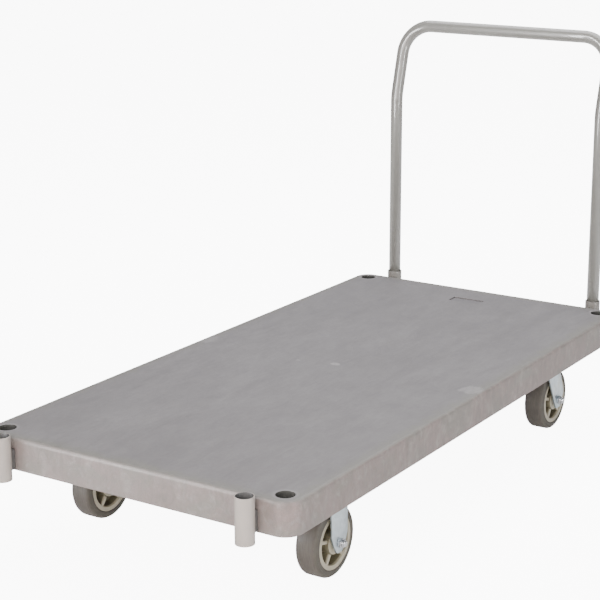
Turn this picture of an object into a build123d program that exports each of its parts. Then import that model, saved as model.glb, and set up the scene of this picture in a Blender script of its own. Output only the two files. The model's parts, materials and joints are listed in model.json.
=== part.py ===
"""Platform cart: a moulded plastic deck on two rigid and two swivel casters.

A bent tube push handle stands in two tube sockets at the rear end of the deck and lifts straight
out of them. Two more sockets of the same kind wait at the front end.
+Z is up, the floor is z = 0 and +Y points to the handle end, which is the rear. Left and right are
those of a person at the handle, so left is +X. The origin is the bottom centre of the whole cart's
box. All sizes are in millimetres.
"""

import os
from math import radians, tan

from build123d import *

# ---- driving dimensions -------------------------------------------------------------------

# deck moulding
deck_length = 1524.0
deck_width = 762.0
deck_thickness = 70.0
corner_radius = 39.0  # also how far the corner post holes sit in from both edges
top_edge_radius = 9.0
bottom_edge_radius = 1.5
skin = 6.0
skirt_wall = 6.0
rib_thickness = 4.5
rib_foot_gap = 4.0  # the ribs end this far above the skirt's lower edge
ribs_along = 5
ribs_across = 12

# holes for corner posts
post_hole_radius = 18.75
post_hole_edge_radius = 1.0
post_boss_radius = 25.0
post_boss_bore_radius = 21.0
post_boss_foot_gap = 4.0  # the boss ends this far above the skirt's lower edge

# shallow recess for a plain plate, near the handle end
recess_length_x = 86.0
recess_length_y = 36.0
recess_depth = 3.0
recess_corner_radius = 3.0
recess_from_end = 111.0
recess_pad_border = 8.0
recess_pad_thickness = 4.0

# handle
handle_from_side = 84.0  # from the deck's side to an upright's axis
handle_tube_diameter = 31.75
handle_tube_wall = 2.0
handle_bar_height = 684.0  # crossbar axis above the deck's top
handle_bend_height = 497.0  # where the uprights lean back, above the deck's top
handle_lean = 15.0  # degrees
handle_corner_radius = 76.0
handle_lean_radius = 120.0

# handle sockets
socket_diameter = 38.1
socket_wall = 2.1
socket_above_deck = 11.0
socket_length = 94.0
socket_stand_off = 28.5  # from the deck's end face to the socket's axis
socket_floor_thickness = 4.0
socket_mouth_radius = 0.8
socket_drain_radius = 4.0
bracket_width = 20.0
bracket_height = 42.0
bracket_foot_gap = 4.0  # from the deck's lower edge to the bracket's
bracket_bolt_spacing = 24.0
bracket_bolt_radius = 4.0
bracket_bolt_head_across = 13.0
bracket_bolt_head_height = 5.5
backing_width = 32.0
backing_height = 48.0
backing_thickness = 3.0

# casters
wheel_diameter = 152.4
wheel_width = 50.8
tread_half_width = 17.0
tyre_seat_radius = 59.0
rim_inner_radius = 49.0
rim_face_drop = 1.2  # the rim's face is this far inside the tyre's side
hub_radius = 26.5
hub_length = 50.0
web_thickness = 6.0
spoke_count = 5
spoke_thickness = 7.5
spoke_face_drop = 1.5
spoke_start_angle = 165.0
bearing_seat_radius = 15.0
bearing_shell = 0.8
bearing_length = 44.0
roller_radius = 2.25
roller_count = 10
sleeve_radius = 9.5
axle_radius = 6.35
axle_nut_across = 19.0
axle_nut_height = 11.0
axle_head_height = 8.0
axle_end_proud = 3.0
washer_radius = 16.0

caster_above_wheel = 38.1  # from the top of the wheel to the deck's underside
front_caster_from_end = 263.5
rear_caster_from_end = 260.0
caster_from_side = 94.5
swivel_trail = 38.0
plate_length_x = 102.0
plate_length_y = 114.0
plate_thickness = 6.0
plate_corner_radius = 8.0
plate_bolt_spacing_x = 74.0
plate_bolt_spacing_y = 92.0
plate_bolt_radius = 4.75
plate_bolt_head_across = 14.3
plate_bolt_head_height = 6.5
lock_washer_radius = 8.6
lock_washer_thickness = 2.2
insert_radius = 7.5
insert_length = 24.0
insert_pocket_extra = 6.0
pad_border = 10.0

fork_gap = 62.0
fork_wall = 4.8
fork_bend_radius = 7.0
rigid_leg_half_width = 29.0
leg_half_width_at_axle = 22.5
leg_below_axle = 20.5
leg_taper_height = 16.0  # above the axle, where the leg starts to narrow
leg_corner_radius = 15.0
leg_side_radius = 8.0
leg_foot_radius = 8.0
swivel_leg_trailing_edge = 28.5  # behind the axle, where the leg starts to narrow

race_pitch_radius = 27.0
race_half_width = 7.0
race_height = 8.5
race_half_opening = 1.0  # from the balls' centres to the face of either race
ball_radius = 3.175
ball_count = 16
crown_radius = 43.0
leg_half_width_at_crown = 34.0
crown_thickness = 6.5
kingpin_radius = 6.35
kingpin_head_radius = 13.0
kingpin_head_height = 5.0

# clearances
loose_fit = 0.05  # nut on thread, bolt in sleeve
running_fit = 0.08
hole_fit = 0.5  # bolt in a clearance hole
seat_gap = 0.1
hub_end_play = 0.2  # at each end of the wheel's hub

# ---- places worked out from the sizes ---------------------------------------------------------

caster_height = wheel_diameter + caster_above_wheel
axle_height = wheel_diameter / 2
wheel_radius = wheel_diameter / 2
deck_underside = caster_height
deck_top = deck_underside + deck_thickness
rib_depth = deck_thickness - skin - rib_foot_gap
handle_spacing = deck_width - 2 * handle_from_side
handle_radius = handle_tube_diameter / 2
bar_offset = (handle_bar_height - handle_bend_height) * tan(radians(handle_lean))
rear_reach = socket_stand_off + bar_offset + handle_radius
front_reach = socket_stand_off + socket_diameter / 2
deck_centre_y = (front_reach - rear_reach) / 2
front_end_y = deck_centre_y - deck_length / 2
rear_end_y = deck_centre_y + deck_length / 2

socket_x = handle_spacing / 2
socket_top = deck_top + socket_above_deck
socket_bottom = socket_top - socket_length
socket_bore_radius = socket_diameter / 2 - socket_wall
handle_foot = socket_bottom + socket_floor_thickness
bracket_centre_z = deck_underside + bracket_foot_gap + bracket_height / 2

caster_x = deck_width / 2 - caster_from_side
front_caster_y = front_end_y + front_caster_from_end
rear_caster_y = rear_end_y - rear_caster_from_end
rear_wheel_y = rear_caster_y + swivel_trail
plate_bottom = caster_height - plate_thickness
fork_half = fork_gap / 2 + fork_wall
washer_thickness = (fork_gap - hub_length) / 2 - seat_gap - hub_end_play

SIDES = {"left": 1, "right": -1}
ENDS = {"front": (front_end_y, -1), "rear": (rear_end_y, 1)}

os.makedirs("parts", exist_ok=True)


def save(piece, name):
    """Writes one finished piece as the node called name."""
    piece.part.label = name
    export_step(piece.part, f"parts/{name}.step")


def axle_plane(x, y):
    """Plane across the axle: local x runs along Y, local y is up, the normal is +X."""
    return Plane(origin=(x, y, axle_height), x_dir=(0, 1, 0), z_dir=(1, 0, 0))


def wheel_section_plane(x, y):
    """Plane through the axle: local x runs along the axle, local y is the radius."""
    return Plane(origin=(x, y, axle_height), x_dir=(1, 0, 0), z_dir=(0, -1, 0))


def axle_axis(x, y):
    return Axis((x, y, axle_height), (1, 0, 0))


# ---- deck -------------------------------------------------------------------------------------


def deck_rectangle(inset):
    """The deck's outline, smaller by inset all round, in the current sketch."""
    with Locations((0, deck_centre_y)):
        RectangleRounded(deck_width - 2 * inset, deck_length - 2 * inset, corner_radius - inset)


def caster_places():
    """Centres of the four caster plates."""
    return [
        (side * caster_x, y) for side in SIDES.values() for y in (front_caster_y, rear_caster_y)
    ]


def post_hole_grid():
    return GridLocations(
        deck_width - 2 * corner_radius, deck_length - 2 * corner_radius, 2, 2
    )


def plate_bolt_grid():
    return GridLocations(plate_bolt_spacing_x, plate_bolt_spacing_y, 2, 2)


def socket_bolt_planes():
    """One plane for each socket's bolts, on the deck's end face, normal outwards."""
    return [
        Plane(origin=(side * socket_x, end_y, bracket_centre_z), x_dir=(1, 0, 0), z_dir=(0, way, 0))
        for end_y, way in ENDS.values()
        for side in SIDES.values()
    ]


def socket_bolt_pair():
    return GridLocations(bracket_bolt_spacing, bracket_bolt_spacing, 1, 2)


skin_bottom = deck_top - skin
rib_bottom = skin_bottom - rib_depth
inner_width = deck_width - 2 * skirt_wall
inner_length = deck_length - 2 * skirt_wall
rib_pitch_x = inner_width / (ribs_along + 1)
rib_pitch_y = inner_length / (ribs_across + 1)

with BuildPart() as deck:
    with BuildSketch(Plane.XY.offset(deck_underside)):
        deck_rectangle(0)
    extrude(amount=deck_thickness)
    fillet(deck.faces().sort_by(Axis.Z)[-1].edges(), top_edge_radius)
    fillet(deck.faces().sort_by(Axis.Z)[0].edges(), bottom_edge_radius)
    # the hollow underneath, then everything that stands in it
    with BuildSketch(Plane.XY.offset(deck_underside)):
        deck_rectangle(skirt_wall)
    extrude(amount=deck_thickness - skin, mode=Mode.SUBTRACT)
    with BuildSketch(Plane.XY.offset(rib_bottom)):
        with Locations((0, deck_centre_y)):
            with GridLocations(rib_pitch_x, 0, ribs_along, 1):
                Rectangle(rib_thickness, inner_length + skirt_wall)
            with GridLocations(0, rib_pitch_y, 1, ribs_across):
                Rectangle(inner_width + skirt_wall, rib_thickness)
    extrude(amount=rib_depth)
    with BuildSketch(Plane.XY.offset(deck_underside)):
        with Locations(*caster_places()):
            RectangleRounded(
                plate_length_x + 2 * pad_border, plate_length_y + 2 * pad_border, plate_corner_radius
            )
    extrude(amount=deck_thickness - skin)
    with BuildSketch(Plane.XY.offset(deck_underside + post_boss_foot_gap)):
        with Locations((0, deck_centre_y)):
            with post_hole_grid():
                Circle(post_boss_radius)
    extrude(amount=deck_thickness - skin - post_boss_foot_gap)
    recess_y = rear_end_y - recess_from_end
    with BuildSketch(Plane.XY.offset(skin_bottom - recess_pad_thickness)):
        with Locations((0, recess_y)):
            Rectangle(recess_length_x + 2 * recess_pad_border, recess_length_y + 2 * recess_pad_border)
    extrude(amount=recess_pad_thickness)
    # holes
    with BuildSketch(Plane.XY.offset(deck_underside)):
        with Locations((0, deck_centre_y)):
            with post_hole_grid():
                Circle(post_boss_bore_radius)
    extrude(amount=deck_thickness - skin, mode=Mode.SUBTRACT)
    with BuildSketch(Plane.XY.offset(skin_bottom)):
        with Locations((0, deck_centre_y)):
            with post_hole_grid():
                Circle(post_hole_radius)
    extrude(amount=skin, mode=Mode.SUBTRACT)
    rims = deck.edges().filter_by(GeomType.CIRCLE).group_by(Axis.Z)[-1]
    fillet(rims.filter_by(lambda edge: edge.radius == post_hole_radius), post_hole_edge_radius)
    with BuildSketch(Plane.XY.offset(deck_top - recess_depth)):
        with Locations((0, recess_y)):
            RectangleRounded(recess_length_x, recess_length_y, recess_corner_radius)
    extrude(amount=recess_depth, mode=Mode.SUBTRACT)
    with BuildSketch(Plane.XY.offset(deck_underside)):
        for place in caster_places():
            with Locations(place):
                with plate_bolt_grid():
                    Circle(insert_radius)
    extrude(amount=insert_length + insert_pocket_extra, mode=Mode.SUBTRACT)
    for plane in socket_bolt_planes():
        with BuildSketch(plane):
            with socket_bolt_pair():
                Circle(bracket_bolt_radius + hole_fit)
        extrude(amount=-skirt_wall, mode=Mode.SUBTRACT)
save(deck, "deck")

# ---- handle sockets ---------------------------------------------------------------------------

for end, (end_y, way) in ENDS.items():
    for side, sign in SIDES.items():
        axis_x = sign * socket_x
        axis_y = end_y + way * socket_stand_off
        with BuildPart() as socket_tube:
            with BuildSketch(Plane((axis_x, axis_y, handle_foot))):
                Circle(socket_diameter / 2)
                Circle(socket_bore_radius, mode=Mode.SUBTRACT)
            extrude(amount=socket_length - socket_floor_thickness)
            mouth = socket_tube.faces().sort_by(Axis.Z)[-1].outer_wire()
            fillet(mouth.edges(), socket_mouth_radius)
        save(socket_tube, f"{end}_{side}_socket_tube")

        # block welded to the tube and bolted to the deck's end face, with two tapped holes
        with BuildPart() as socket_bracket:
            with BuildSketch(Plane((axis_x, end_y, bracket_centre_z - bracket_height / 2))):
                with Locations((0, way * socket_stand_off / 2)):
                    Rectangle(bracket_width, socket_stand_off)
                with Locations((0, way * socket_stand_off)):
                    Circle(socket_diameter / 2 + seat_gap, mode=Mode.SUBTRACT)
            extrude(amount=bracket_height)
            face_plane = Plane(
                origin=(axis_x, end_y, bracket_centre_z), x_dir=(1, 0, 0), z_dir=(0, way, 0)
            )
            with BuildSketch(face_plane):
                with socket_bolt_pair():
                    Circle(bracket_bolt_radius + loose_fit)
            extrude(amount=socket_stand_off - socket_diameter / 2, mode=Mode.SUBTRACT)
        save(socket_bracket, f"{end}_{side}_socket_bracket")

with BuildPart() as socket_floors:
    for end_y, way in ENDS.values():
        for sign in SIDES.values():
            with BuildSketch(Plane((sign * socket_x, end_y + way * socket_stand_off, socket_bottom))):
                Circle(socket_diameter / 2)
                Circle(socket_drain_radius, mode=Mode.SUBTRACT)
            extrude(amount=socket_floor_thickness)
save(socket_floors, "socket_floor_discs")

with BuildPart() as backing_plates:
    for plane in socket_bolt_planes():
        with BuildSketch(plane.offset(-skirt_wall)):
            Rectangle(backing_width, backing_height)
            with socket_bolt_pair():
                Circle(bracket_bolt_radius + hole_fit, mode=Mode.SUBTRACT)
        extrude(amount=-backing_thickness)
save(backing_plates, "socket_backing_plates")

bracket_bolt_reach = socket_stand_off - socket_diameter / 2 - 1
with BuildPart() as socket_bolts:
    for plane in socket_bolt_planes():
        head_plane = plane.offset(-skirt_wall - backing_thickness)
        with BuildSketch(head_plane):
            with socket_bolt_pair():
                RegularPolygon(bracket_bolt_head_across / 2, 6, major_radius=False)
        extrude(amount=-bracket_bolt_head_height)
        with BuildSketch(head_plane):
            with socket_bolt_pair():
                Circle(bracket_bolt_radius)
        extrude(amount=skirt_wall + backing_thickness + bracket_bolt_reach)
save(socket_bolts, "socket_bolts")

# ---- handle -----------------------------------------------------------------------------------

upright_y = rear_end_y + socket_stand_off
bend_z = deck_top + handle_bend_height
bar_z = deck_top + handle_bar_height
half = handle_spacing / 2
handle_corners = [
    (-half, upright_y, handle_foot),
    (-half, upright_y, bend_z),
    (-half, upright_y + bar_offset, bar_z),
    (half, upright_y + bar_offset, bar_z),
    (half, upright_y, bend_z),
    (half, upright_y, handle_foot),
]
handle_bends = [handle_lean_radius, handle_corner_radius, handle_corner_radius, handle_lean_radius]
with BuildPart() as push_handle:
    with BuildLine() as handle_path:
        FilletPolyline(*handle_corners, radius=handle_bends)
    with BuildSketch(Plane(origin=handle_corners[0], z_dir=(0, 0, 1))):
        Circle(handle_radius)
        Circle(handle_radius - handle_tube_wall, mode=Mode.SUBTRACT)
    sweep(path=handle_path.wires()[0])
save(push_handle, "push_handle")

# ---- wheels -----------------------------------------------------------------------------------


def make_tyre(x, y):
    """Rubber tread with a flat crown and full round shoulders down to the rim."""
    half_width = wheel_width / 2
    shoulder_height = wheel_radius - tyre_seat_radius - 2.5
    with BuildPart() as tyre:
        with BuildSketch(wheel_section_plane(x, y)):
            with BuildLine():
                crown = Line((-tread_half_width, wheel_radius), (tread_half_width, wheel_radius))
                right = EllipticalCenterArc(
                    (tread_half_width, wheel_radius - shoulder_height),
                    half_width - tread_half_width,
                    shoulder_height,
                    start_angle=0,
                    arc_size=90,
                )
                left = EllipticalCenterArc(
                    (-tread_half_width, wheel_radius - shoulder_height),
                    half_width - tread_half_width,
                    shoulder_height,
                    start_angle=90,
                    arc_size=90,
                )
                Polyline(left @ 1, (-half_width, tyre_seat_radius), (half_width, tyre_seat_radius), right @ 0)
            make_face()
        revolve(axis=axle_axis(x, y))
    return tyre


def make_wheel_core(x, y):
    """Plastic core: rim, web and hub turned about the axle, with spokes on both sides of the web."""
    rim_half = wheel_width / 2 - rim_face_drop
    spoke_half = rim_half - spoke_face_drop
    with BuildPart() as core:
        with BuildSketch(wheel_section_plane(x, y)):
            with Locations((0, (rim_inner_radius + tyre_seat_radius) / 2)):
                Rectangle(2 * rim_half, tyre_seat_radius - rim_inner_radius)
            with Locations((0, (hub_radius + rim_inner_radius) / 2)):
                Rectangle(web_thickness, rim_inner_radius - hub_radius + 2)
            with Locations((0, (bearing_seat_radius + hub_radius) / 2)):
                Rectangle(hub_length, hub_radius - bearing_seat_radius)
        revolve(axis=axle_axis(x, y))
        with BuildSketch(axle_plane(x - spoke_half, y)):
            spoke_length = rim_inner_radius - hub_radius + 2
            with PolarLocations(
                (hub_radius + rim_inner_radius) / 2, spoke_count, start_angle=spoke_start_angle
            ):
                Rectangle(spoke_length, spoke_thickness)
        extrude(amount=2 * spoke_half)
    return core


def make_bearing(x, y):
    """Roller bearing: a thin shell in the hub and loose rollers around the axle sleeve."""
    roller_ring = sleeve_radius + running_fit + roller_radius
    shell_inner = bearing_seat_radius - loose_fit - bearing_shell
    with BuildPart() as bearing:
        with BuildSketch(axle_plane(x - bearing_length / 2, y)):
            Circle(bearing_seat_radius - loose_fit)
            Circle(shell_inner, mode=Mode.SUBTRACT)
            with PolarLocations(roller_ring, roller_count):
                Circle(roller_radius)
        extrude(amount=bearing_length)
    return bearing


def make_sleeve(x, y):
    """Steel tube clamped between the fork legs; the rollers run on it."""
    with BuildPart() as sleeve:
        with BuildSketch(axle_plane(x - fork_gap / 2, y)):
            Circle(sleeve_radius)
            Circle(axle_radius + loose_fit, mode=Mode.SUBTRACT)
        extrude(amount=fork_gap)
    return sleeve


def make_thrust_washers(x, y):
    """A thick washer between each end of the hub and the fork."""
    with BuildPart() as washers:
        for way in SIDES.values():
            inner_face = x + way * (fork_gap / 2 - seat_gap)
            with BuildSketch(axle_plane(inner_face, y)):
                Circle(washer_radius)
                Circle(sleeve_radius + running_fit, mode=Mode.SUBTRACT)
            extrude(amount=-way * washer_thickness)
    return washers


def make_axle_bolt(x, y, outward):
    """Hex bolt with its head on the inner leg, pointing outwards."""
    with BuildPart() as bolt:
        with BuildSketch(axle_plane(x - outward * fork_half, y)):
            RegularPolygon(axle_nut_across / 2, 6, major_radius=False, rotation=30)
        extrude(amount=-outward * axle_head_height)
        with BuildSketch(axle_plane(x - outward * fork_half, y)):
            Circle(axle_radius)
        extrude(amount=outward * (2 * fork_half + axle_nut_height + axle_end_proud))
        tip = bolt.edges().filter_by(GeomType.CIRCLE).sort_by(Axis.X)[-1 if outward > 0 else 0]
        chamfer(tip, 1.0)
    return bolt


def make_axle_nut(x, y, outward):
    with BuildPart() as nut:
        with BuildSketch(axle_plane(x + outward * fork_half, y)):
            RegularPolygon(axle_nut_across / 2, 6, major_radius=False, rotation=30)
            Circle(axle_radius + loose_fit, mode=Mode.SUBTRACT)
        extrude(amount=outward * axle_nut_height)
    return nut


def save_wheel(prefix, x, y, outward):
    """Everything on one caster's axle."""
    save(make_tyre(x, y), f"{prefix}_tyre")
    save(make_wheel_core(x, y), f"{prefix}_wheel_core")
    save(make_bearing(x, y), f"{prefix}_roller_bearing")
    save(make_sleeve(x, y), f"{prefix}_axle_sleeve")
    save(make_thrust_washers(x, y), f"{prefix}_thrust_washers")
    save(make_axle_bolt(x, y, outward), f"{prefix}_axle_bolt")
    save(make_axle_nut(x, y, outward), f"{prefix}_axle_nut")


# ---- casters ----------------------------------------------------------------------------------


def plate_sketch():
    """A caster plate with its four bolt holes, centred in the current sketch."""
    RectangleRounded(plate_length_x, plate_length_y, plate_corner_radius)
    with plate_bolt_grid():
        Circle(plate_bolt_radius + hole_fit, mode=Mode.SUBTRACT)


def make_rigid_plate(x, y):
    with BuildPart() as plate:
        with BuildSketch(Plane((x, y, plate_bottom))):
            plate_sketch()
        extrude(amount=plate_thickness)
    return plate


def make_rigid_fork(x, y):
    """Two straight legs under a flat bridge, welded to the plate."""
    bridge_top = plate_bottom - axle_height
    w = rigid_leg_half_width
    a = leg_half_width_at_axle
    foot = leg_below_axle
    leg_outline = [
        (-w, bridge_top),
        (-w, leg_taper_height),
        (-a, 0),
        (-foot / 2, -foot),
        (foot / 2, -foot),
        (a, 0),
        (w, leg_taper_height),
        (w, bridge_top),
    ]
    with BuildPart() as fork:
        with BuildSketch(axle_plane(x - fork_half, y)) as leg:
            Polygon(*leg_outline, align=None)
            fillet(leg.vertices().group_by(Axis.Y)[2], leg_corner_radius)
            fillet(leg.vertices().group_by(Axis.Y)[1], leg_side_radius)
            fillet(leg.vertices().group_by(Axis.Y)[0], leg_foot_radius)
            Circle(axle_radius + loose_fit, mode=Mode.SUBTRACT)
        extrude(amount=2 * fork_half)
        fillet(fork.edges().filter_by(Axis.Y).group_by(Axis.Z)[-1], fork_bend_radius)
        with BuildSketch(axle_plane(x - fork_gap / 2, y)):
            with Locations((0, (bridge_top - fork_wall - leg_below_axle) / 2 - 1)):
                Rectangle(4 * w, bridge_top - fork_wall + leg_below_axle + 2)
        extrude(amount=fork_gap, mode=Mode.SUBTRACT)
    return fork


def race_groove(x, y, z):
    """Ring that balls roll in, cut from the current part."""
    with Locations((x, y, z)):
        Torus(race_pitch_radius, ball_radius + seat_gap, mode=Mode.SUBTRACT)


ball_z = plate_bottom - race_height
crown_top = ball_z - race_half_opening
crown_bottom = crown_top - crown_thickness


def make_swivel_plate(x, y):
    """Caster plate with the upper ball race pressed down from it."""
    with BuildPart() as plate:
        with BuildSketch(Plane((x, y, plate_bottom))):
            plate_sketch()
            Circle(kingpin_radius + loose_fit, mode=Mode.SUBTRACT)
        extrude(amount=plate_thickness)
        with BuildSketch(Plane((x, y, plate_bottom))):
            Circle(race_pitch_radius + race_half_width)
            Circle(race_pitch_radius - race_half_width, mode=Mode.SUBTRACT)
        extrude(amount=-(race_height - race_half_opening))
        race_groove(x, y, ball_z)
    return plate


def make_race_balls(x, y):
    with BuildPart() as balls:
        with Locations((x, y, ball_z)):
            with PolarLocations(race_pitch_radius, ball_count):
                Sphere(ball_radius)
    return balls


def make_kingpin(x, y):
    """Rivet that holds the fork's crown up against the balls."""
    with BuildPart() as kingpin:
        with BuildSketch(Plane((x, y, crown_bottom - seat_gap))):
            Circle(kingpin_head_radius)
        extrude(amount=-kingpin_head_height)
        with BuildSketch(Plane((x, y, crown_bottom - seat_gap))):
            Circle(kingpin_radius)
        extrude(amount=caster_height - crown_bottom + seat_gap)
    return kingpin


def make_swivel_fork(x, y):
    """Round crown under the ball race and two legs that trail back to the axle.

    x and y are the axle's place; the swivel axis is swivel_trail in front of it.
    """
    top = crown_top - axle_height
    w = leg_half_width_at_crown
    a = leg_half_width_at_axle
    foot = leg_below_axle
    leg_outline = [
        (-swivel_trail - w, top),
        (-a, 0),
        (-foot / 2, -foot),
        (foot / 2, -foot),
        (a, 0),
        (swivel_leg_trailing_edge, leg_taper_height),
        (-swivel_trail + w, top),
    ]
    swivel_y = y - swivel_trail
    with BuildPart() as fork:
        with BuildSketch(axle_plane(x - fork_half, y)) as leg:
            Polygon(*leg_outline, align=None)
            fillet(leg.vertices().group_by(Axis.Y)[2], leg_corner_radius)
            fillet(leg.vertices().group_by(Axis.Y)[1], leg_side_radius)
            fillet(leg.vertices().group_by(Axis.Y)[0], leg_foot_radius)
            Circle(axle_radius + loose_fit, mode=Mode.SUBTRACT)
        extrude(amount=2 * fork_half)
        with BuildSketch(axle_plane(x - fork_gap / 2, y)):
            with Locations((-swivel_trail / 2, (top - crown_thickness - foot) / 2 - 1)):
                Rectangle(4 * crown_radius, top - crown_thickness + foot + 2)
        extrude(amount=fork_gap, mode=Mode.SUBTRACT)
        with BuildSketch(Plane((x, swivel_y, crown_bottom))):
            Circle(crown_radius)
        extrude(amount=crown_thickness)
        with BuildSketch(Plane((x, swivel_y, crown_bottom))):
            Circle(kingpin_radius + running_fit)
        extrude(amount=crown_thickness, mode=Mode.SUBTRACT)
        race_groove(x, swivel_y, ball_z)
    return fork


for side, sign in SIDES.items():
    x = sign * caster_x
    front = f"front_{side}"
    save(make_rigid_plate(x, front_caster_y), f"{front}_caster_plate")
    save(make_rigid_fork(x, front_caster_y), f"{front}_rigid_fork")
    save_wheel(front, x, front_caster_y, sign)

    rear = f"rear_{side}"
    save(make_swivel_plate(x, rear_caster_y), f"{rear}_caster_plate")
    save(make_race_balls(x, rear_caster_y), f"{rear}_race_balls")
    save(make_kingpin(x, rear_caster_y), f"{rear}_kingpin")
    save(make_swivel_fork(x, rear_wheel_y), f"{rear}_swivel_fork")
    save_wheel(rear, x, rear_wheel_y, sign)

# ---- caster bolts -----------------------------------------------------------------------------

with BuildPart() as inserts:
    for place in caster_places():
        with BuildSketch(Plane((*place, deck_underside))):
            with plate_bolt_grid():
                Circle(insert_radius - loose_fit)
                Circle(plate_bolt_radius + loose_fit, mode=Mode.SUBTRACT)
        extrude(amount=insert_length)
save(inserts, "caster_threaded_inserts")

with BuildPart() as lock_washers:
    for place in caster_places():
        with BuildSketch(Plane((*place, plate_bottom))):
            with plate_bolt_grid():
                Circle(lock_washer_radius)
                Circle(plate_bolt_radius + loose_fit, mode=Mode.SUBTRACT)
        extrude(amount=-lock_washer_thickness)
save(lock_washers, "caster_lock_washers")

with BuildPart() as caster_bolts:
    for place in caster_places():
        head_plane = Plane((*place, plate_bottom - lock_washer_thickness))
        with BuildSketch(head_plane):
            with plate_bolt_grid():
                RegularPolygon(plate_bolt_head_across / 2, 6, major_radius=False)
        extrude(amount=-plate_bolt_head_height)
        with BuildSketch(head_plane):
            with plate_bolt_grid():
                Circle(plate_bolt_radius)
        extrude(amount=lock_washer_thickness + plate_thickness + insert_length)
save(caster_bolts, "caster_bolts")
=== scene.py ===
# Platform cart: moulded deck, two rigid and two swivel casters, and a push handle that lifts out.
import json
import math

import bpy
import bmesh
from mathutils import Euler, Matrix, Vector


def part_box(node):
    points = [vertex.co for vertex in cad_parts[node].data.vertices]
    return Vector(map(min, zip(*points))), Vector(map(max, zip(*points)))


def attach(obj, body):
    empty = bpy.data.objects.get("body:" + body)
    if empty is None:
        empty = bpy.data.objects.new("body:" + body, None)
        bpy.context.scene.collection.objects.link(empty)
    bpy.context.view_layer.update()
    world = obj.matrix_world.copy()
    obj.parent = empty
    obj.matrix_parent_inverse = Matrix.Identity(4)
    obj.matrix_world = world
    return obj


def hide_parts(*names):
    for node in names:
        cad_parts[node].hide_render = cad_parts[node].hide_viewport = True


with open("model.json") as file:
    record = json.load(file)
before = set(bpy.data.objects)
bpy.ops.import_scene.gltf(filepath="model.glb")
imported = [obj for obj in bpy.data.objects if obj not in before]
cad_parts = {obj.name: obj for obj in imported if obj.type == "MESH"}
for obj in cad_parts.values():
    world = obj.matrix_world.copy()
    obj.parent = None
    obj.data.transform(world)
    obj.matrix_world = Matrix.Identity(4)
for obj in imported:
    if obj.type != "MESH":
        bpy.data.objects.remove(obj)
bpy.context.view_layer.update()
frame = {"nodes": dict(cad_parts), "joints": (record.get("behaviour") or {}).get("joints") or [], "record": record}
nodes = frame["nodes"]
record = frame["record"]
slotOf = {row["node"]: row["material_slot"] for row in record["subparts"]}
bodyOf = {node: body for body, group in record["behaviour"]["bodies"].items() for node in group}
jointPlace = {joint["name"]: Vector(joint.get("pos_m", (0, 0, 0))) for joint in frame["joints"]}
wheelNames = ("front_left", "front_right", "rear_left", "rear_right")
axleOf = {name: jointPlace[name + "_roll"] for name in wheelNames}
deckLow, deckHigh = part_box("deck")
deckMiddle = (deckLow + deckHigh) / 2
print("frame loaded:", len(nodes), "nodes")


def newMaterial(name):
    mat = bpy.data.materials.new(name)
    mat.use_nodes = True
    tree = mat.node_tree
    tree.nodes.clear()
    out = tree.nodes.new("ShaderNodeOutputMaterial")
    shader = tree.nodes.new("ShaderNodeBsdfPrincipled")
    tree.links.new(shader.outputs["BSDF"], out.inputs["Surface"])
    return mat, tree, shader


def feed(tree, socket, value):
    # a socket is linked, a number or a colour is set
    if isinstance(value, bpy.types.NodeSocket):
        tree.links.new(value, socket)
    elif isinstance(value, (tuple, list)) and socket.type == "RGBA":
        socket.default_value = (*value, 1)
    else:
        socket.default_value = value


def mixColor(tree, mask, low, high, blend="MIX"):
    node = tree.nodes.new("ShaderNodeMix")
    node.data_type = "RGBA"
    node.blend_type = blend
    for index, value in ((0, mask), (6, low), (7, high)):
        feed(tree, node.inputs[index], value)
    return node.outputs[2]


def blendIn(tree, color, mask, amount, tone):
    # lays a tone over a colour, as strongly as the mask times the amount
    return mixColor(tree, calc(tree, "MULTIPLY", mask, amount), color, tone)


def calc(tree, operation, first, second=0.0, third=0.0, clamp=False):
    node = tree.nodes.new("ShaderNodeMath")
    node.operation = operation
    node.use_clamp = clamp
    for index, value in enumerate((first, second, third)):
        feed(tree, node.inputs[index], value)
    return node.outputs[0]


def vectorCalc(tree, operation, first, second=(0, 0, 0)):
    node = tree.nodes.new("ShaderNodeVectorMath")
    node.operation = operation
    feed(tree, node.inputs[0], first)
    feed(tree, node.inputs[1], second)
    return node.outputs["Value"] if operation == "LENGTH" else node.outputs["Vector"]


def remap(tree, value, fromLow, fromHigh, toLow=0.0, toHigh=1.0, smooth=False):
    node = tree.nodes.new("ShaderNodeMapRange")
    node.interpolation_type = "SMOOTHSTEP" if smooth else "LINEAR"
    feed(tree, node.inputs[0], value)
    for index, number in enumerate((fromLow, fromHigh, toLow, toHigh)):
        feed(tree, node.inputs[index + 1], number)
    return node.outputs[0]


def noise(tree, vector, scale, detail=3.0, rough=0.55, distort=0.0):
    node = tree.nodes.new("ShaderNodeTexNoise")
    for label, value in (("Vector", vector), ("Scale", scale), ("Detail", detail),
                         ("Roughness", rough), ("Distortion", distort)):
        feed(tree, node.inputs[label], value)
    return node.outputs["Fac"]


def objectPoint(tree):
    return tree.nodes.new("ShaderNodeTexCoord").outputs["Object"]


def parts(tree, vector):
    node = tree.nodes.new("ShaderNodeSeparateXYZ")
    feed(tree, node.inputs[0], vector)
    return node.outputs[0], node.outputs[1], node.outputs[2]


def bumpInto(tree, shader, height, distance, strength=1.0):
    node = tree.nodes.new("ShaderNodeBump")
    node.inputs["Strength"].default_value = strength
    node.inputs["Distance"].default_value = distance
    feed(tree, node.inputs["Height"], height)
    tree.links.new(node.outputs["Normal"], shader.inputs["Normal"])


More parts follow.
